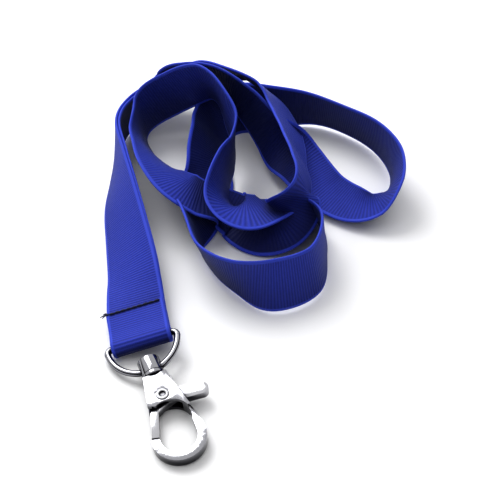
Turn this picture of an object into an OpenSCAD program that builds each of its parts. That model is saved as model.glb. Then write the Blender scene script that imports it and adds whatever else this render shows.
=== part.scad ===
// Neck lanyard lying in a loose tangle, with a D-ring and a swivel trigger hook for a badge.
// Millimetres, +Z up. The strap rests on z = 0 and the hook points towards -Y.

/* [Strap] */
// Width of the woven strap
strap_w = 15; // [14.5:0.1:15]
// Thickness of one layer of strap
tape_t = 0.75; // [0.6:0.05:0.75]
// Free space between the two layers where they lie on each other
layer_gap = 0.1; // [0.1:0.05:0.2]
// Length of the sewn flap above the ring bar
flap_len = 10.5; // [9:0.5:11]

/* [Stitching] */
// Number of stitches across the strap
stitch_count = 9; // [7:1:11]
// Diameter of the sewing thread
thread_d = 0.5; // [0.4:0.05:0.6]

/* [D-ring] */
// Diameter of the ring wire
wire_d = 1.6; // [1.4:0.1:1.6]
// Radius of the bow, to the middle of the wire
bow_r = 8.8; // [8.8:0.1:9]
// Radius of the two corners, to the middle of the wire
corner_r = 1.2; // [1.1:0.1:1.4]

/* [Swivel] */
// Diameter of the swivel eye
eye_d = 5.5; // [5.2:0.1:5.6]
// Diameter of the swivel stem
stem_d = 2.2; // [2:0.1:2.4]
// Diameter of the upset end of the stem
stem_head_d = 3.4; // [3.2:0.1:3.5]
// Diameter of the collar
collar_d = 5.9; // [5.6:0.1:6]

/* [Hook] */
// Thickness of the hook's shank
shank_t = 4.6; // [4.4:0.1:4.8]
// Thickness of the hook's loop
loop_t = 2.6; // [2.4:0.1:2.8]
// Outer radius of the loop
loop_r = 6.4; // [6.3:0.1:6.5]
// Width of the loop's bar
loop_bar_w = 2.1; // [2:0.1:2.2]
// Thickness of the trigger
trigger_t = 2.1; // [1.9:0.1:2.1]
// Length of the thumb lever from the pivot to its tip's middle
lever_len = 9.2; // [9:0.1:10]
// Diameter of the pivot rivet
rivet_d = 1.6; // [1.5:0.1:1.6]

/* [Hidden] */

// Middle of the strap's layout, which becomes the part's origin
mid_x = 1;
mid_y = -2.5;

// Clearance of a running fit
fit = 0.08;
seg = 64;

// Where the ring bar lies in the strap's fold
bar_at = [-26.3, -35.2, 4];
bar_yaw = 12;
bar_roll = 12;
// How far round the bow the eye hangs, and how the hook has turned and sunk there
eye_angle = 6;
eye_z = 3.2;
hook_yaw = 21.5;
hook_droop = 3.2;
hook_roll = 5;

wire_r = wire_d / 2;
// The bow's middle lies just in front of the bar, so that the corners stay round
bow_y = -0.3;
corner_x = sqrt(pow(bow_r - corner_r, 2) - pow(corner_r + bow_y, 2));
corner_angle = atan2(-corner_r - bow_y, corner_x);

fold_in = wire_r + fit;
fold_out = fold_in + 2 * tape_t;
fold_neck = 3.4;
flap_top = 2 * tape_t + layer_gap;

eye_front = -1.3;
eye_back = 2.8;
collar_back = -1.4;
collar_front = -2.6;
shank_back = -2.62;
stem_seat = -4.8;
stem_head = [-5, -5.8];
pivot_y = -8.8;
loop_y = -20.1;
loop_in = loop_r - loop_bar_w;
arch_y = -15.3;
arch_r = 4.7;
arm_w = 2.1;
slot_t = trigger_t + 0.4;
hub_r = 2.1;
lever_tilt = -7;
lever_w = 3.2;
gate_w = 1.7;
gate_root = [-3.2, -12.6];
gate_tip = [-5.1, -18.4];
rivet_head_r = 1.5;
rivet_head_t = 0.3;
spring_wire = 0.3;
spring_r = rivet_d / 2 + 0.45;

function unit(v) = v / norm(v);

// Axes at the ring bar, and the pitch that lets the bow sink to the eye's height
bar_x = [cos(bar_roll) * cos(bar_yaw), cos(bar_roll) * sin(bar_yaw), sin(bar_roll)];
flat_y = [-sin(bar_yaw), cos(bar_yaw), 0];
bar_up = cross(bar_x, flat_y);
eye_side = bow_r * sin(eye_angle);
eye_reach = bow_r * cos(eye_angle) - bow_y;
bow_drop = (eye_z - bar_at[2] - eye_side * bar_x[2]) / eye_reach;
ring_pitch = asin(-bow_drop / bar_up[2]);
bow_dir = -cos(ring_pitch) * flat_y - sin(ring_pitch) * bar_up;
eye_at = bar_at + eye_side * bar_x + eye_reach * bow_dir;
// Direction of the wire where it passes through the eye, and the roll that lines the eye up with it
wire_dir = cos(eye_angle) * bar_x - sin(eye_angle) * bow_dir;
eye_roll = asin(wire_dir[2]);

module placed() translate([-mid_x, -mid_y, 0]) children();
module at_bar(pitch = 0)
  placed() translate(bar_at) rotate([0, 0, bar_yaw]) rotate([0, -bar_roll, 0]) rotate([pitch, 0, 0]) children();
module at_hook(roll = hook_roll)
  placed() translate(eye_at) rotate([0, 0, hook_yaw]) rotate([hook_droop, 0, 0]) rotate([0, -roll, 0]) children();

// Route of the strap's middle line, from the D-ring round to where the second layer starts:
// [x, y, height, roll of the strap about its own run in degrees]
layer_one = [
  [-27, -31.7, 3.6, 12], [-28.5, -24.5, 3.6, 12.5], [-29.5, -18, 4.2, 21], [-30.5, -11, 5.1, 32],
  [-33, 1.2, 6.2, 44], [-35.5, 13.5, 7.4, 55], [-37, 25, 8, 72], [-38, 36.5, 8.5, 86],
  [-36, 46.5, 8.5, 80]];
over_the_top = [
  [-30.5, 54.5, 9.5, 68], [-22.5, 59, 12, 58], [-13, 57.5, 16.5, 48], [-4.5, 50, 21.5, 45],
  [4.5, 44.5, 19.5, 50], [9, 37.5, 17, 51], [11, 29, 17, 55], [12, 20, 18, 63]];
drop_turn = [
  [13.5, 11, 19, 67], [13.5, 4.5, 17, 76], [9.5, 2.2, 9.3, 60], [4, 3.2, 4.8, 36],
  [0, 6, 3.6, 22], [-2.7, 9.5, 3, 11]];
crossing_run = [
  [-8, 11.5, 5, 3], [-13.5, 11, 9, -3], [-19, 13.3, 11.7, -15], [-24, 19.5, 12, -32],
  [-27.5, 27, 10.5, -50], [-30.5, 35, 9, -65], [-31.5, 42.5, 10, -82]];
inner_loop = [
  [-28, 47, 12.5, -84], [-20.5, 48.5, 16.5, -92], [-14, 47, 20.5, -106], [-10, 43.5, 21, -106],
  [-7, 38.5, 19, -97], [-4.5, 32, 15.5, -88], [-5, 25.5, 12.5, -90]];
pocket_turn = [
  [-7.2, 19, 11.5, -100], [-8, 12, 10.5, -116], [-6, 5.8, 10.4, -148], [-1, 3.6, 10.9, -178],
  [5, 6.2, 10, -168], [10.8, 10.4, 7.8, -144], [16, 8, 7, -119]];
big_loop = [
  [19.3, -2, 8, -97], [16.5, -15, 8, -104], [6, -20.5, 8, -108], [-3.5, -18, 8, -81],
  [-11, -11, 7.6, -70], [-15, -0.5, 7.8, -72]];
under_run = [
  [-14.5, 9, 5.2, -33], [-13, 16.5, 3.3, -20], [-11.5, 24.3, 3.8, -25], [-12, 31.5, 6, -42],
  [-11.8, 38, 6.8, -50], [-11.5, 43.5, 6.5, -50], [-9.5, 49, 6.2, -48], [-4, 53, 6.3, -54]];
right_loop = [
  [6, 52, 7.5, -82], [18, 50.5, 8.2, -105], [28.5, 44.5, 8.2, -108], [36.5, 36, 8.6, -100],
  [40.5, 26, 8.4, -87], [39.5, 18, 6.8, -65], [35, 14.5, 3.4, -23]];
return_run = [
  [28.5, 15.5, 2.3, -1], [20.5, 21, 3.2, 3], [13.5, 29, 6.5, 15], [6, 35.5, 11, 78],
  [-1, 41.5, 17, 94], [-8, 47, 21, 113], [-15.5, 52, 20, 128], [-22.5, 55.5, 14, 120],
  [-29, 53.7, 9.5, 112]];
route_top = concat(layer_one, over_the_top, drop_turn, crossing_run, inner_loop, pocket_turn,
                   big_loop, under_run, right_loop, return_run);

// The second layer runs back under the first, one layer lower
layer_pitch = tape_t + layer_gap;
rings_per_station = 3;

function at(s, k) = [s[k][0], s[k][1], s[k][2]];
function heading(s, k) =
  unit(at(s, min(k + 1, len(s) - 1)) - at(s, max(k - 1, 0)));
function across(run, roll) =
  let (side = unit(cross(run, [0, 0, 1])), up = cross(side, run)) cos(roll) * side + sin(roll) * up;
function below(s, k) =
  let (run = heading(s, k), face = cross(across(run, s[k][3]), run), p = at(s, k) - layer_pitch * face)
  [p[0], p[1], p[2], 180 - s[k][3]];
layer_two = [for (k = [len(layer_one) - 1 : -1 : 0]) below(route_top, k)];
route = concat(route_top, layer_two);

// Smooth curve through the stations, and its direction
function station(k) =
  k < 0 ? 2 * route[0] - route[1]
  : k >= len(route) ? 2 * route[len(route) - 1] - route[len(route) - 2] : route[k];
function curve(k, t) =
  let (a = station(k - 1), b = station(k), c = station(k + 1), d = station(k + 2))
  0.5 * (2 * b + (c - a) * t + (2 * a - 5 * b + 4 * c - d) * t * t + (3 * b - a - 3 * c + d) * t * t * t);
function slope(k, t) =
  let (a = station(k - 1), b = station(k), c = station(k + 1), d = station(k + 2))
  0.5 * ((c - a) + 2 * (2 * a - 5 * b + 4 * c - d) * t + 3 * (3 * b - a - 3 * c + d) * t * t);
function tape_ring(k, t) =
  let (p = curve(k, t), v = slope(k, t), run = unit([v[0], v[1], v[2]]),
       w = across(run, p[3]) * strap_w / 2, n = unit(cross(w, run)) * tape_t / 2, c = [p[0], p[1], p[2]])
  [c - w - n, c + w - n, c + w + n, c - w + n];

module tape(rings) {
  last = len(rings) - 1;
  sides = [for (i = [0 : last - 1], j = [0 : 3])
    let (a = 4 * i + j, b = 4 * i + (j + 1) % 4) each [[a, b, b + 4], [a, b + 4, a + 4]]];
  caps = [[2, 1, 0], [3, 2, 0], [4 * last, 4 * last + 1, 4 * last + 2], [4 * last, 4 * last + 2, 4 * last + 3]];
  polyhedron([for (r = rings) each r], concat(sides, caps));
}

module webbing() color("royalblue") placed() {
  spans = len(route) - 1;
  tape([for (i = [0 : spans * rings_per_station])
    let (k = min(floor(i / rings_per_station), spans - 1)) tape_ring(k, i / rings_per_station - k)]);
}

// The strap's two ends, folded round the ring bar with a flap sewn down on top
module end_fold() color("mediumblue") at_bar() rotate([90, 0, 90]) difference() {
  union() {
    cylinder(h = strap_w, r = fold_out, center = true, $fn = seg);
    linear_extrude(strap_w, center = true)
      polygon([[-0.5, fold_out - 0.2], [fold_neck, flap_top], [flap_len, flap_top], [flap_len, layer_gap],
               [fold_neck, layer_gap], [fold_neck, -flap_top], [-0.5, 0.2 - fold_out]]);
  }
  cylinder(h = strap_w + 1, r = fold_in, center = true, $fn = seg);
}

// A row of stitches across the flap's end, with the thread's loose tail at the left
module stitching() color("midnightblue") at_bar() {
  pitch_x = (strap_w - 2) / stitch_count;
  stitch_z = flap_top + thread_d / 2;
  for (i = [0 : stitch_count - 1])
    translate([(i - (stitch_count - 1) / 2) * pitch_x, flap_len - 0.7, stitch_z])
      rotate([0, 90, 0]) cylinder(h = pitch_x * 0.75, d = thread_d, center = true, $fn = 16);
  translate([-strap_w / 2 - 0.6, flap_len - 0.7, stitch_z]) rotate([0, 90, -18])
    cylinder(h = 2.2, d = thread_d, center = true, $fn = 16);
}

// One bent piece of the ring's wire
module wire_bend(middle, bend_r, wire, from, sweep)
  translate(middle) rotate([0, 0, from]) rotate_extrude(angle = sweep, $fn = 128)
    translate([bend_r, 0]) circle(wire, $fn = 32);

module d_ring() color("silver") at_bar(ring_pitch) {
  // The corners are a hair thicker than the bar and the bow, and lap over their ends
  lap = 4;
  corner_wire = wire_r + 0.04;
  rotate([0, 90, 0]) cylinder(h = 2 * corner_x, r = wire_r, center = true, $fn = 32);
  for (side = [0, 1]) mirror([side, 0, 0])
    wire_bend([corner_x, -corner_r, 0], corner_r, corner_wire, corner_angle - lap, 90 - corner_angle + 2 * lap);
  wire_bend([0, bow_y, 0], bow_r, wire_r, 180 - corner_angle, 180 + 2 * corner_angle);
}

// Round head with a flared hole for the ring, and the stem that turns in the hook
module swivel_eye() color("silver") at_hook(eye_roll) {
  flare_x = 2.6;
  flare_r = wire_r + 0.75;
  waist_x = 0.8;
  difference() {
    rotate([90, 0, 0]) translate([0, 0, -eye_back])
      cylinder(h = eye_back - eye_front, d = eye_d, $fn = seg);
    rotate([0, 90, 0]) cylinder(h = eye_d + 1, r = wire_r + fit, center = true, $fn = seg);
    for (side = [-1, 1]) rotate([0, 90 * side, 0]) translate([0, 0, waist_x])
      cylinder(h = flare_x, r1 = wire_r + fit, r2 = flare_r, $fn = seg);
  }
  rotate([90, 0, 0]) translate([0, 0, -eye_front - 0.01])
    cylinder(h = eye_front - stem_head[0] + 0.02, d = stem_d, $fn = seg);
  rotate([90, 0, 0]) translate([0, 0, -stem_head[0]])
    cylinder(h = stem_head[0] - stem_head[1], d = stem_head_d, $fn = seg);
}

module swivel_collar() color("gainsboro") at_hook() rotate([90, 0, 0]) translate([0, 0, -collar_back])
  difference() {
    cylinder(h = collar_back - collar_front, d = collar_d, $fn = seg);
    translate([0, 0, -1]) cylinder(h = 4, r = stem_d / 2 + fit, $fn = seg);
  }

module slab(thickness) linear_extrude(thickness, center = true) children();

// Flat outline of the shank, flaring from the neck to the two shoulders
module shank_outline() difference() {
  polygon([[-2.9, shank_back], [2.9, shank_back], [4, -9], [5.1, -13.6], [5.1 - arm_w, -14.4],
           [0, -12], [-2.9, -11.2], [-4.3, -10.6], [-4, -9]]);
  translate([0, arch_y]) circle(arch_r, $fn = seg);
}

// Flat outline of the loop: the right arm and the ring, open where the gate closes it
module loop_outline() {
  difference() {
    union() {
      translate([0, loop_y]) circle(loop_r, $fn = seg);
      polygon([[3.5, -12], [4.75, -12], [6.3, -18.6], [6.4, loop_y], [0, loop_y], [0, -14]]);
    }
    translate([0, loop_y]) circle(loop_in, $fn = seg);
    translate([0, arch_y]) circle(arch_r, $fn = seg);
    polygon([[-loop_in, loop_y], [loop_in, loop_y], [arch_r - 0.35, arch_y], [-arch_r, arch_y]]);
    polygon([[-8, gate_tip[1] - 0.35], [-2, gate_tip[1] - 0.95], [0, -18], [0, -12], [-8, -12]]);
  }
}

// Space inside the shank for the trigger, open to the right flank and down to the gate
module trigger_slot() slab(slot_t)
  polygon([[-4.6, -9.8], [-3.2, -7.2], [-2, -6.3], [0.4, -6.3], [1.6, -5.5], [8, -2.6],
           [9, -11.9], [3.9, -12.2], [0, -13], [-6, -13]]);

module hook_body() color("silver") at_hook() difference() {
  union() {
    slab(shank_t) shank_outline();
    slab(loop_t) loop_outline();
  }
  trigger_slot();
  rotate([90, 0, 0]) cylinder(h = 7, r = stem_d / 2 + fit, $fn = seg);
  rotate([90, 0, 0]) translate([0, 0, -stem_seat]) cylinder(h = 3, r = stem_head_d / 2 + 0.15, $fn = seg);
  translate([0, pivot_y, 0]) cylinder(h = 10, d = rivet_d, center = true, $fn = seg);
  for (side = [0, 1]) mirror([0, 0, side]) translate([0, pivot_y, shank_t / 2 - rivet_head_t])
    cylinder(h = 1, r = rivet_head_r, $fn = seg);
}

// The lever: a hub on the rivet, a rounded thumb piece to the right and the gate to the left
module trigger() color("gainsboro") at_hook() difference() {
  union() {
    slab(trigger_t) {
      translate([0, pivot_y]) circle(hub_r, $fn = seg);
      translate([0, pivot_y]) rotate(lever_tilt) {
        polygon([[0, -hub_r + 0.3], [lever_len, -lever_w / 2], [lever_len, lever_w / 2], [0, hub_r]]);
        translate([lever_len, 0]) circle(lever_w / 2, $fn = seg);
      }
      polygon([[-hub_r, pivot_y], gate_root + [-gate_w / 2 - 0.1, 0.6], gate_root + [gate_w / 2, 0.2],
               [1, pivot_y - 1.8]]);
      polygon([gate_root + [-gate_w / 2 - 0.1, 0.6], gate_tip + [-gate_w / 2, 0.1],
               gate_tip + [gate_w / 2, -0.35], gate_root + [gate_w / 2, 0.2]]);
    }
  }
  translate([0, pivot_y, 0]) cylinder(h = 10, r = rivet_d / 2 + fit, center = true, $fn = seg);
  translate([0, pivot_y, -0.45]) cylinder(h = 0.9, r = spring_r + spring_wire, $fn = seg);
}

module pivot_rivet() color("dimgray") at_hook() translate([0, pivot_y, 0]) difference() {
  union() {
    cylinder(h = shank_t, d = rivet_d, center = true, $fn = seg);
    for (side = [0, 1]) mirror([0, 0, side]) translate([0, 0, shank_t / 2 - rivet_head_t])
      cylinder(h = rivet_head_t + 0.2, r = rivet_head_r - 0.02, $fn = seg);
  }
  for (side = [0, 1]) mirror([0, 0, side]) translate([0, 0, shank_t / 2 - 0.2])
    cylinder(h = 1, r = rivet_d / 2, $fn = seg);
}

// Small torsion spring round the rivet, inside the trigger's hub
module trigger_spring() color("lightsteelblue") at_hook() translate([0, pivot_y, 0]) {
  for (side = [-1, 1]) translate([0, 0, side * spring_wire * 0.7])
    rotate_extrude($fn = seg) translate([spring_r, 0]) circle(spring_wire / 2, $fn = 16);
  translate([spring_r, 0, 0]) cylinder(h = spring_wire * 1.4, d = spring_wire * 0.8, center = true, $fn = 16);
}

webbing();
end_fold();
stitching();
d_ring();
swivel_eye();
swivel_collar();
hook_body();
trigger();
pivot_rivet();
trigger_spring();
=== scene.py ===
import math
import random

import bmesh
import bpy
from mathutils import Matrix, Vector


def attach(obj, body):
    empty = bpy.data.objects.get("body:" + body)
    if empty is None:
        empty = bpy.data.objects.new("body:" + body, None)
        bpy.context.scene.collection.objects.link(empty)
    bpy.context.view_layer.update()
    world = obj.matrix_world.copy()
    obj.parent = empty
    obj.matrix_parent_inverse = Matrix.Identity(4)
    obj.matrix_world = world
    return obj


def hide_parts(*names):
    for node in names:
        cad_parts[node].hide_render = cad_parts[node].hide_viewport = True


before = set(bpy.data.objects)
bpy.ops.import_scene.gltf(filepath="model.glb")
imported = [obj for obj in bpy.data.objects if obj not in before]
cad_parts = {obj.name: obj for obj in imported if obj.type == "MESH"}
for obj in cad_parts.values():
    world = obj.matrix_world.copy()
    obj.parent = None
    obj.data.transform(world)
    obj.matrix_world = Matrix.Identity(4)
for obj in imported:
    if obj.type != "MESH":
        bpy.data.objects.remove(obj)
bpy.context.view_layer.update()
random.seed(7)

MM = 0.001
ORIGIN = Vector((1, -2.5, 0))  # middle of the strap's layout, in mm


# ---------- Camera ----------

LENS_ANGLE = 25  # degrees
LOOK_DOWN = 45  # degrees from straight down
CAMERA_REACH = 213.2  # mm in front of the layout and as much above it

camera_data = bpy.data.cameras.new("camera")
camera = bpy.data.objects.new("camera", camera_data)
bpy.context.scene.collection.objects.link(camera)
camera_data.angle = math.radians(LENS_ANGLE)
camera.location = (Vector((0, -CAMERA_REACH, CAMERA_REACH)) - ORIGIN) * MM
camera.rotation_euler = (math.radians(LOOK_DOWN), 0, 0)
bpy.context.scene.camera = camera


# ---------- Route of the strap ----------

# Stations of the middle line, as in the CAD: x, y and height in mm, and the roll about the run in degrees

LAYER_ONE = [
    (-27, -31.7, 3.6, 12), (-28.5, -24.5, 3.6, 12.5), (-29.5, -18, 4.2, 21), (-30.5, -11, 5.1, 32),
    (-33, 1.2, 6.2, 44), (-35.5, 13.5, 7.4, 55), (-37, 25, 8, 72), (-38, 36.5, 8.5, 86),
    (-36, 46.5, 8.5, 80)]
OVER_THE_TOP = [
    (-30.5, 54.5, 9.5, 68), (-22.5, 59, 12, 58), (-13, 57.5, 16.5, 48), (-4.5, 50, 21.5, 45),
    (4.5, 44.5, 19.5, 50), (9, 37.5, 17, 51), (11, 29, 17, 55), (12, 20, 18, 63)]
DROP_TURN = [
    (13.5, 11, 19, 67), (13.5, 4.5, 17, 76), (9.5, 2.2, 9.3, 60), (4, 3.2, 4.8, 36),
    (0, 6, 3.6, 22), (-2.7, 9.5, 3, 11)]
CROSSING_RUN = [
    (-8, 11.5, 5, 3), (-13.5, 11, 9, -3), (-19, 13.3, 11.7, -15), (-24, 19.5, 12, -32),
    (-27.5, 27, 10.5, -50), (-30.5, 35, 9, -65), (-31.5, 42.5, 10, -82)]
INNER_LOOP = [
    (-28, 47, 12.5, -84), (-20.5, 48.5, 16.5, -92), (-14, 47, 20.5, -106), (-10, 43.5, 21, -106),
    (-7, 38.5, 19, -97), (-4.5, 32, 15.5, -88), (-5, 25.5, 12.5, -90)]
POCKET_TURN = [
    (-7.2, 19, 11.5, -100), (-8, 12, 10.5, -116), (-6, 5.8, 10.4, -148), (-1, 3.6, 10.9, -178),
    (5, 6.2, 10, -168), (10.8, 10.4, 7.8, -144), (16, 8, 7, -119)]
BIG_LOOP = [
    (19.3, -2, 8, -97), (16.5, -15, 8, -104), (6, -20.5, 8, -108), (-3.5, -18, 8, -81),
    (-11, -11, 7.6, -70), (-15, -0.5, 7.8, -72)]
UNDER_RUN = [
    (-14.5, 9, 5.2, -33), (-13, 16.5, 3.3, -20), (-11.5, 24.3, 3.8, -25), (-12, 31.5, 6, -42),
    (-11.8, 38, 6.8, -50), (-11.5, 43.5, 6.5, -50), (-9.5, 49, 6.2, -48), (-4, 53, 6.3, -54)]
RIGHT_LOOP = [
    (6, 52, 7.5, -82), (18, 50.5, 8.2, -105), (28.5, 44.5, 8.2, -108), (36.5, 36, 8.6, -100),
    (40.5, 26, 8.4, -87), (39.5, 18, 6.8, -65), (35, 14.5, 3.4, -23)]
RETURN_RUN = [
    (28.5, 15.5, 2.3, -1), (20.5, 21, 3.2, 3), (13.5, 29, 6.5, 15), (6, 35.5, 11, 78),
    (-1, 41.5, 17, 94), (-8, 47, 21, 113), (-15.5, 52, 20, 128), (-22.5, 55.5, 14, 120),
    (-29, 53.7, 9.5, 112)]

STRAP_W = 15.0  # mm, as are the values below
TAPE_T = 0.75
LAYER_GAP = 0.1
STEPS = 12  # pieces of curve between two stations


def across(run, roll):
    """Direction across the strap, for a direction of run and a roll in degrees."""
    side = run.cross(Vector((0, 0, 1))).normalized()
    return math.cos(math.radians(roll)) * side + math.sin(math.radians(roll)) * side.cross(run)


def whole_route():
    """Every station, with the second layer of the strap running back under the first."""
    top = (LAYER_ONE + OVER_THE_TOP + DROP_TURN + CROSSING_RUN + INNER_LOOP + POCKET_TURN
           + BIG_LOOP + UNDER_RUN + RIGHT_LOOP + RETURN_RUN)
    under = []
    for k in range(len(LAYER_ONE) - 1, -1, -1):
        here = Vector(top[k][:3])
        run = (Vector(top[k + 1][:3]) - Vector(top[max(k - 1, 0)][:3])).normalized()
        face = across(run, top[k][3]).cross(run)
        p = here - (TAPE_T + LAYER_GAP) * face
        under.append((p.x, p.y, p.z, 180 - top[k][3]))
    return [Vector(s) for s in top + under]


def smooth_route(stations, steps):
    """Points (x, y, z, roll) and slopes of a smooth curve through the stations."""
    s = [2 * stations[0] - stations[1]] + stations + [2 * stations[-1] - stations[-2]]
    out = []
    for k in range(len(stations) - 1):
        a, b, c, d = s[k:k + 4]
        for i in range(steps + (k == len(stations) - 2)):
            t = i / steps
            p = 0.5 * (2 * b + (c - a) * t + (2 * a - 5 * b + 4 * c - d) * t * t
                       + (3 * b - a - 3 * c + d) * t ** 3)
            v = 0.5 * ((c - a) + 2 * (2 * a - 5 * b + 4 * c - d) * t
                       + 3 * (3 * b - a - 3 * c + d) * t * t)
            out.append((p, v))
    return out


# ---------- Mesh helpers ----------

TUBE_UP = Vector((0.13, 0.2, 0.97))  # a direction that no thread runs along
FLAT_SHARE = 0.86  # thickness of the tape's flat middle, against its selvage

def new_object(name, mesh, material, body, smooth):
    """Adds a mesh to a body and slot, with edges sharper than `smooth` degrees kept sharp."""
    obj = bpy.data.objects.new(name, mesh)
    bpy.context.scene.collection.objects.link(obj)
    mesh.materials.append(material)
    mesh.shade_smooth()
    mesh.set_sharp_from_angle(angle=math.radians(smooth))
    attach(obj, body)
    return obj


def tape_profile(thickness, width):
    """Closed cross-section of woven tape: flat in the middle, with a thicker rounded selvage."""
    half_w, half_t = width / 2, thickness / 2
    # Distance in from the edge in mm, and share of the half thickness
    selvage = [(0.1, 0.6), (0.35, 0.95), (0.9, 1.0), (1.3, FLAT_SHARE)]
    flat = [(place * half_w, FLAT_SHARE) for place in (-0.45, 0, 0.45)]
    top = ([(-half_w + inset, share) for inset, share in selvage] + flat
           + [(half_w - inset, share) for inset, share in reversed(selvage)])
    up = [(a, n * half_t) for a, n in top]
    down = [(a, -n * half_t) for a, n in reversed(top)]
    return up + [(half_w, 0.0)] + down + [(-half_w, 0.0)]


def tape_mesh(name, frames, thickness, width, unit):
    """Sweeps the tape's section along frames of (centre, across, normal), and gives its length.

    The UV is the length along the tape in mm and the place across it from 0 to 1.
    """
    section = tape_profile(thickness, width)
    n = len(section)
    verts, faces, uvs, lengths = [], [], [], [0.0]
    for i, (c, w, f) in enumerate(frames):
        if i:
            lengths.append(lengths[-1] + (c - frames[i - 1][0]).length)
        verts += [(c + a * w + h * f) * unit for a, h in section]
    for i in range(len(frames) - 1):
        for j in range(n):
            k = (j + 1) % n
            faces.append((i * n + j, i * n + k, (i + 1) * n + k, (i + 1) * n + j))
            v0, v1 = section[j][0] / width + 0.5, section[k][0] / width + 0.5
            uvs += [(lengths[i], v0), (lengths[i], v1), (lengths[i + 1], v1), (lengths[i + 1], v0)]
    last = (len(frames) - 1) * n
    faces.append(tuple(range(n - 1, -1, -1)))
    uvs += [(0, section[j][0] / width + 0.5) for j in range(n - 1, -1, -1)]
    faces.append(tuple(range(last, last + n)))
    uvs += [(lengths[-1], section[j][0] / width + 0.5) for j in range(n)]
    mesh = bpy.data.meshes.new(name)
    mesh.from_pydata(verts, [], faces)
    layer = mesh.uv_layers.new(name="strap")
    for loop, uv in zip(layer.data, uvs):
        loop.uv = uv
    mesh.update()
    fixed = bmesh.new()
    fixed.from_mesh(mesh)
    bmesh.ops.recalc_face_normals(fixed, faces=fixed.faces)
    fixed.to_mesh(mesh)
    fixed.free()
    return mesh, lengths[-1]


def tube_mesh(name, points, radii, sides):
    """Round closed tube through points, with a radius at each."""
    verts, faces = [], []
    for i, p in enumerate(points):
        run = (points[min(i + 1, len(points) - 1)] - points[max(i - 1, 0)]).normalized()
        side = run.cross(TUBE_UP).normalized()
        up = side.cross(run)
        for j in range(sides):
            a = 2 * math.pi * j / sides
            verts.append(p + radii[i] * (math.cos(a) * side + math.sin(a) * up))
    for i in range(len(points) - 1):
        for j in range(sides):
            k = (j + 1) % sides
            faces.append((i * sides + j, i * sides + k, (i + 1) * sides + k, (i + 1) * sides + j))
    last = (len(points) - 1) * sides
    faces += [tuple(range(sides - 1, -1, -1)), tuple(range(last, last + sides))]
    mesh = bpy.data.meshes.new(name)
    mesh.from_pydata(verts, [], faces)
    return mesh


# ---------- Materials ----------

def principled(name, color, metallic=0.0, roughness=0.5):
    material = bpy.data.materials.new(name)
    material.use_nodes = True
    shader = material.node_tree.nodes["Principled BSDF"]
    shader.inputs["Base Color"].default_value = (*color, 1)
    shader.inputs["Metallic"].default_value = metallic
    shader.inputs["Roughness"].default_value = roughness
    return material, material.node_tree, shader


def math_node(tree, operation, a, b=None):
    node = tree.nodes.new("ShaderNodeMath")
    node.operation = operation
    for socket, value in zip(node.inputs, (a, b)):
        if value is None:
            continue
        if isinstance(value, (int, float)):
            socket.default_value = value
        else:
            tree.links.new(value, socket)
    return node.outputs[0]


RIB_PITCH = 0.72  # mm
THREADS_ACROSS = 34
SELVAGE_START = 0.435  # share of the width, from the middle
SELVAGE_STEEPNESS = 60


def wave(tree, place, turns):
    """A sine of `turns` turns per unit of place, between 0 and 1."""
    phase = math_node(tree, "MULTIPLY", place, 2 * math.pi * turns)
    level = math_node(tree, "MULTIPLY_ADD", math_node(tree, "SINE", phase), 0.5)
    level.node.inputs[2].default_value = 0.5
    return level


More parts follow.
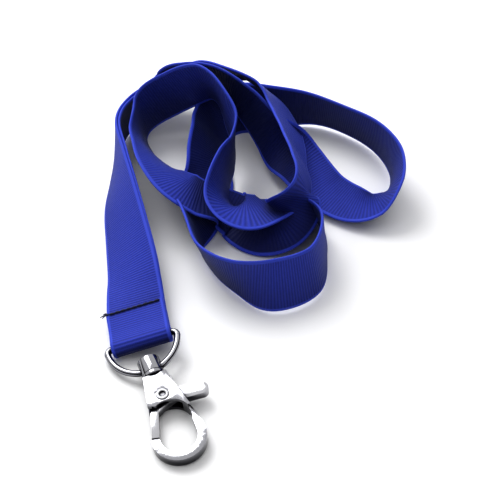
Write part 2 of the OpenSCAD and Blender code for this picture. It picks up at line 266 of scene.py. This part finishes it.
def webbing_material(name, color, dark):
    """Ribbed grosgrain: ribs across it, fine threads along it, and a plainer selvage painted lighter as a
    highlight along the edges.
    """
    material, tree, shader = principled(name, color, 0.0, 0.62)
    shader.inputs["Specular IOR Level"].default_value = 0.2
    shader.inputs["Sheen Weight"].default_value = 0.08
    shader.inputs["Sheen Roughness"].default_value = 0.4
    shader.inputs["Sheen Tint"].default_value = (0.45, 0.55, 1.0, 1)
    uv = tree.nodes.new("ShaderNodeUVMap")
    uv.uv_map = "strap"
    split = tree.nodes.new("ShaderNodeSeparateXYZ")
    tree.links.new(uv.outputs[0], split.inputs[0])
    along, side = split.outputs[0], split.outputs[1]
    rib = wave(tree, along, 1 / RIB_PITCH)
    thread = wave(tree, side, THREADS_ACROSS)
    # 1 in the selvage, 0 in the middle
    off_middle = math_node(tree, "ABSOLUTE", math_node(tree, "SUBTRACT", side, 0.5))
    past_start = math_node(tree, "SUBTRACT", off_middle, SELVAGE_START)
    selvage = math_node(tree, "MULTIPLY", past_start, SELVAGE_STEEPNESS)
    selvage.node.use_clamp = True
    inside = math_node(tree, "SUBTRACT", 1.0, selvage)
    rib_height = math_node(tree, "MULTIPLY", rib, inside)
    thread_height = math_node(tree, "MULTIPLY", thread, 0.22)
    height = math_node(tree, "ADD", rib_height, thread_height)
    bump = tree.nodes.new("ShaderNodeBump")
    bump.inputs["Strength"].default_value = 0.75
    bump.inputs["Distance"].default_value = 0.00012
    tree.links.new(height, bump.inputs["Height"])
    tree.links.new(bump.outputs[0], shader.inputs["Normal"])
    noise = tree.nodes.new("ShaderNodeTexNoise")
    noise.inputs["Scale"].default_value = 90
    noise.inputs["Detail"].default_value = 3
    shade = math_node(tree, "MULTIPLY_ADD", rib, 0.55)
    shade.node.inputs[2].default_value = 0.32
    patchy_and_shade = math_node(tree, "MULTIPLY_ADD", noise.outputs[0], 0.3)
    tree.links.new(shade, patchy_and_shade.node.inputs[2])
    # Painted shade: deeper blue between the folds, where little light gets in
    nearby = tree.nodes.new("ShaderNodeAmbientOcclusion")
    nearby.inputs["Distance"].default_value = 0.02
    open_air = math_node(tree, "MULTIPLY_ADD", nearby.outputs["AO"], 1.9)
    open_air.node.inputs[2].default_value = -0.9
    open_air.node.use_clamp = True
    patchy_and_shade = math_node(tree, "MULTIPLY", patchy_and_shade, open_air)
    mix = tree.nodes.new("ShaderNodeMix")
    mix.data_type = "RGBA"
    mix.inputs[6].default_value = (*dark, 1)
    mix.inputs[7].default_value = (*color, 1)
    tree.links.new(patchy_and_shade, mix.inputs[0])
    # Painted highlight: the selvage is mixed to a lighter blue along both edges of the tape
    edge = tree.nodes.new("ShaderNodeMix")
    edge.data_type = "RGBA"
    edge.inputs[7].default_value = (color[0] * 1.25, color[1] * 1.25, color[2] * 1.12, 1)
    tree.links.new(mix.outputs[2], edge.inputs[6])
    tree.links.new(selvage, edge.inputs[0])
    tree.links.new(edge.outputs[2], shader.inputs["Base Color"])
    return material


HAZE = 0.04  # how far the metal's roughness strays each way


def chrome_material(name, color, roughness):
    """Polished plating with faint haze, fine pitting and painted shade in its crevices and under its
    edges.
    """
    material, tree, shader = principled(name, color, 1.0, roughness)
    place = tree.nodes.new("ShaderNodeTexCoord")
    noise = tree.nodes.new("ShaderNodeTexNoise")
    noise.inputs["Scale"].default_value = 260
    noise.inputs["Detail"].default_value = 4
    tree.links.new(place.outputs["Object"], noise.inputs["Vector"])
    haze = math_node(tree, "MULTIPLY_ADD", noise.outputs[0], HAZE * 2)
    haze.node.inputs[2].default_value = roughness - HAZE
    tree.links.new(haze, shader.inputs["Roughness"])
    bump = tree.nodes.new("ShaderNodeBump")
    bump.inputs["Strength"].default_value = 0.12
    bump.inputs["Distance"].default_value = 0.00005
    tree.links.new(noise.outputs[0], bump.inputs["Height"])
    tree.links.new(bump.outputs[0], shader.inputs["Normal"])
    # Painted shade in the crevices and under the edges: the base colour turns near black where ambient
    # occlusion finds other surfaces close by
    nearby = tree.nodes.new("ShaderNodeAmbientOcclusion")
    nearby.inputs["Distance"].default_value = 0.006
    ramp = tree.nodes.new("ShaderNodeValToRGB")
    ramp.color_ramp.elements[0].position = 0.6
    ramp.color_ramp.elements[0].color = (0.012, 0.012, 0.018, 1)
    ramp.color_ramp.elements[1].position = 0.9
    ramp.color_ramp.elements[1].color = (*color, 1)
    tree.links.new(nearby.outputs["AO"], ramp.inputs[0])
    tree.links.new(ramp.outputs[0], shader.inputs["Base Color"])
    return material


STRAP = webbing_material("strap blue", (0.032, 0.056, 0.47), (0.006, 0.011, 0.1))
THREAD = principled("thread navy", (0.006, 0.009, 0.04), 0.0, 0.7)[0]
CHROME = chrome_material("hook chrome", (0.3, 0.3, 0.32), 0.1)
RING_CHROME = chrome_material("ring chrome", (0.34, 0.34, 0.365), 0.09)
LEVER_CHROME = chrome_material("trigger chrome", (0.42, 0.42, 0.44), 0.12)
RIVET = chrome_material("rivet steel", (0.2, 0.2, 0.21), 0.25)
SPRING = chrome_material("spring steel", (0.5, 0.5, 0.52), 0.25)


# ---------- Strap ----------

stations = whole_route()
frames = []
for p, v in smooth_route(stations, STEPS):
    run = Vector(v[:3]).normalized()
    w = across(run, p[3])
    frames.append((Vector(p[:3]) - ORIGIN, w, w.cross(run)))
strap_mesh, strap_length = tape_mesh("strap", frames, TAPE_T, STRAP_W, MM)
strap = new_object("strap", strap_mesh, STRAP, "lanyard", smooth=50)
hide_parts("webbing")


# ---------- Sewn end, stitches and loose thread, in the ring bar's own axes ----------

BAR_MIDDLE = Vector((-26.3, -35.2, 4))  # mm, in the strap's layout
BAR_TURN = 12  # degrees about the vertical
BAR_TILT = -12  # degrees, right end up
bar_axes = (Matrix.Translation((BAR_MIDDLE - ORIGIN) * MM)
            @ Matrix.Rotation(math.radians(BAR_TURN), 4, "Z")
            @ Matrix.Rotation(math.radians(BAR_TILT), 4, "Y"))

# Side view of the folded tape in mm: y along the strap, z up, with the bar at (0, 0)
FOLD_R = 1.63
FOLD_START = 68  # degrees
FOLD_TURN = 224  # degrees
FOLD_STEPS = 14
FLAP_ABOVE = [(10.5, 0.87), (8, 0.86), (5.6, 0.85), (4.2, 0.87), (3, 1.0), (1.9, 1.25)]
TUCK_BELOW = [(1.9, -1.2), (2.8, -0.9), (3.6, -0.75)]
fold = [Vector((0, y, z)) for y, z in FLAP_ABOVE]
for step in range(FOLD_STEPS + 1):
    a = math.radians(FOLD_START + step * (FOLD_TURN / FOLD_STEPS))
    fold.append(Vector((0, FOLD_R * math.cos(a), FOLD_R * math.sin(a))))
fold += [Vector((0, y, z)) for y, z in TUCK_BELOW]
fold_frames = []
for i, p in enumerate(fold):
    run = (fold[min(i + 1, len(fold) - 1)] - fold[max(i - 1, 0)]).normalized()
    w = Vector((1, 0, 0))
    fold_frames.append((p, w, w.cross(run)))
fold_mesh, fold_length = tape_mesh("sewn_end", fold_frames, 2 * TAPE_T, STRAP_W, MM)
fold_mesh.transform(bar_axes)
sewn_end = new_object("sewn_end", fold_mesh, STRAP, "lanyard", smooth=50)
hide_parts("end_fold")

STITCHES = 9
STITCH_Y = 9.8  # mm from the bar
STITCH_MARGIN = 1.0  # mm of strap left free at each end of the row
THREAD_SIDES = 8
# Share of the pitch from the stitch's middle, height in mm and radius in mm
STITCH_ARCH = [(-0.46, 1.5, 0.17), (-0.38, 1.68, 0.22), (-0.2, 1.78, 0.25), (0, 1.8, 0.25),
               (0.2, 1.78, 0.25), (0.38, 1.68, 0.22), (0.46, 1.5, 0.17)]
# Share of a loose tail's reach, and radius in mm
TAIL_TAPER = [(0, 0.2), (0.25, 0.2), (0.5, 0.17), (0.75, 0.13), (1, 0.08)]
# Sideways drift, rise and reach of each loose tail in mm
TAILS = [(0.0, 0.0, 2.3), (-0.5, 0.1, 1.7), (0.55, 0.25, 1.3)]
TAIL_X = -STRAP_W / 2 + 0.8
TAIL_Z = 1.75

stitch_parts = []
pitch_x = (STRAP_W - 2 * STITCH_MARGIN) / STITCHES
for i in range(STITCHES):
    x = (i - (STITCHES - 1) / 2) * pitch_x
    lift = 0.04 * random.random()
    shift = 0.12 * (random.random() - 0.5)
    points = [Vector((x + pitch_x * f, STITCH_Y + shift * f * 2, z + lift)) * MM
              for f, z, _ in STITCH_ARCH]
    stitch_parts.append((points, [r for _, _, r in STITCH_ARCH]))
for dy, dz, reach in TAILS:
    points = []
    for f, _ in TAIL_TAPER:
        wavy_y = STITCH_Y + dy * f + 0.3 * math.sin(3 * f)
        points.append(Vector((TAIL_X - reach * f, wavy_y, TAIL_Z - 0.3 * f + dz * f)) * MM)
    stitch_parts.append((points, [r for _, r in TAIL_TAPER]))
stitch_mesh = bpy.data.meshes.new("stitches")
joined = bmesh.new()
for points, radii in stitch_parts:
    piece = tube_mesh("stitch", points, [r * MM for r in radii], THREAD_SIDES)
    joined.from_mesh(piece)
joined.to_mesh(stitch_mesh)
joined.free()
stitch_mesh.transform(bar_axes)
stitches = new_object("stitches", stitch_mesh, THREAD, "lanyard", smooth=40)
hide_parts("stitching")


# ---------- Metal pieces kept from the CAD ----------

KEPT_SHARP = 28  # degrees
BEVEL_FROM = 35  # degrees
WELD_REACH = 0.002  # mm


def finish_metal(node, material, bevel, segments=3):
    """Gives a CAD node its material and, where bevel isn't 0, rounded edges of that width in mm."""
    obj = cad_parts[node]
    obj.data.materials.clear()
    obj.data.materials.append(material)
    obj.data.shade_smooth()
    obj.data.set_sharp_from_angle(angle=math.radians(KEPT_SHARP))
    if bevel:
        weld = obj.modifiers.new("weld", "WELD")
        weld.merge_threshold = WELD_REACH * MM
        edge = obj.modifiers.new("edges", "BEVEL")
        edge.width = bevel * MM
        edge.segments = segments
        edge.limit_method = "ANGLE"
        edge.angle_limit = math.radians(BEVEL_FROM)
        edge.harden_normals = True


finish_metal("d_ring", RING_CHROME, 0)
finish_metal("swivel_eye", CHROME, 0.4, 4)
finish_metal("swivel_collar", CHROME, 0.3, 4)
finish_metal("hook_body", CHROME, 0.95, 6)
finish_metal("trigger", LEVER_CHROME, 0.55, 4)
finish_metal("pivot_rivet", RIVET, 0.08)
finish_metal("trigger_spring", SPRING, 0)


# ---------- Floor, light and surroundings ----------

FLOOR = 2  # metres from the middle to each side
floor_mesh = bpy.data.meshes.new("floor")
floor_corners = [(-FLOOR, -FLOOR, 0), (FLOOR, -FLOOR, 0), (FLOOR, FLOOR, 0), (-FLOOR, FLOOR, 0)]
floor_mesh.from_pydata(floor_corners, [], [(0, 1, 2, 3)])
floor = bpy.data.objects.new("floor", floor_mesh)
bpy.context.scene.collection.objects.link(floor)
floor_material = principled("floor white", (0.9, 0.9, 0.905), 0.0, 0.55)[0]
floor_mesh.materials.append(floor_material)

BRIGHT_SIDE = (-0.2, 0.5, 0.84)
world = bpy.data.worlds.new("studio")
bpy.context.scene.world = world
world.use_nodes = True
sky = world.node_tree
background = sky.nodes["Background"]
background.inputs["Strength"].default_value = 0.95
# Bright overhead and behind, dark low down and in front
place = sky.nodes.new("ShaderNodeTexCoord")
toward = sky.nodes.new("ShaderNodeVectorMath")
toward.operation = "DOT_PRODUCT"
toward.inputs[1].default_value = BRIGHT_SIDE
ramp = sky.nodes.new("ShaderNodeValToRGB")
sky.links.new(place.outputs["Generated"], toward.inputs[0])
sky.links.new(toward.outputs["Value"], ramp.inputs[0])
sky.links.new(ramp.outputs[0], background.inputs["Color"])
ramp.color_ramp.elements[0].position = 0.38
ramp.color_ramp.elements[0].color = (0.02, 0.02, 0.025, 1)
ramp.color_ramp.elements[1].position = 0.6
ramp.color_ramp.elements[1].color = (1, 1, 1, 1)


def area_light(name, place, target, size, power):
    data = bpy.data.lights.new(name, "AREA")
    data.shape = "RECTANGLE"
    data.size, data.size_y = size
    data.energy = power
    light = bpy.data.objects.new(name, data)
    bpy.context.scene.collection.objects.link(light)
    light.location = place
    light.rotation_euler = (Vector(target) - Vector(place)).to_track_quat("-Z", "Y").to_euler()


area_light("key", (-0.25, 0.3, 0.5), (0, 0, 0), (0.35, 0.35), 1.9)
area_light("fill", (0.1, -0.45, 0.45), (0, 0, 0), (0.5, 0.25), 0.5)

bpy.context.scene.view_settings.view_transform = "Standard"
bpy.context.scene.view_settings.look = "None"
bpy.context.scene.view_settings.exposure = 0.42
bpy.context.scene.view_settings.gamma = 0.86
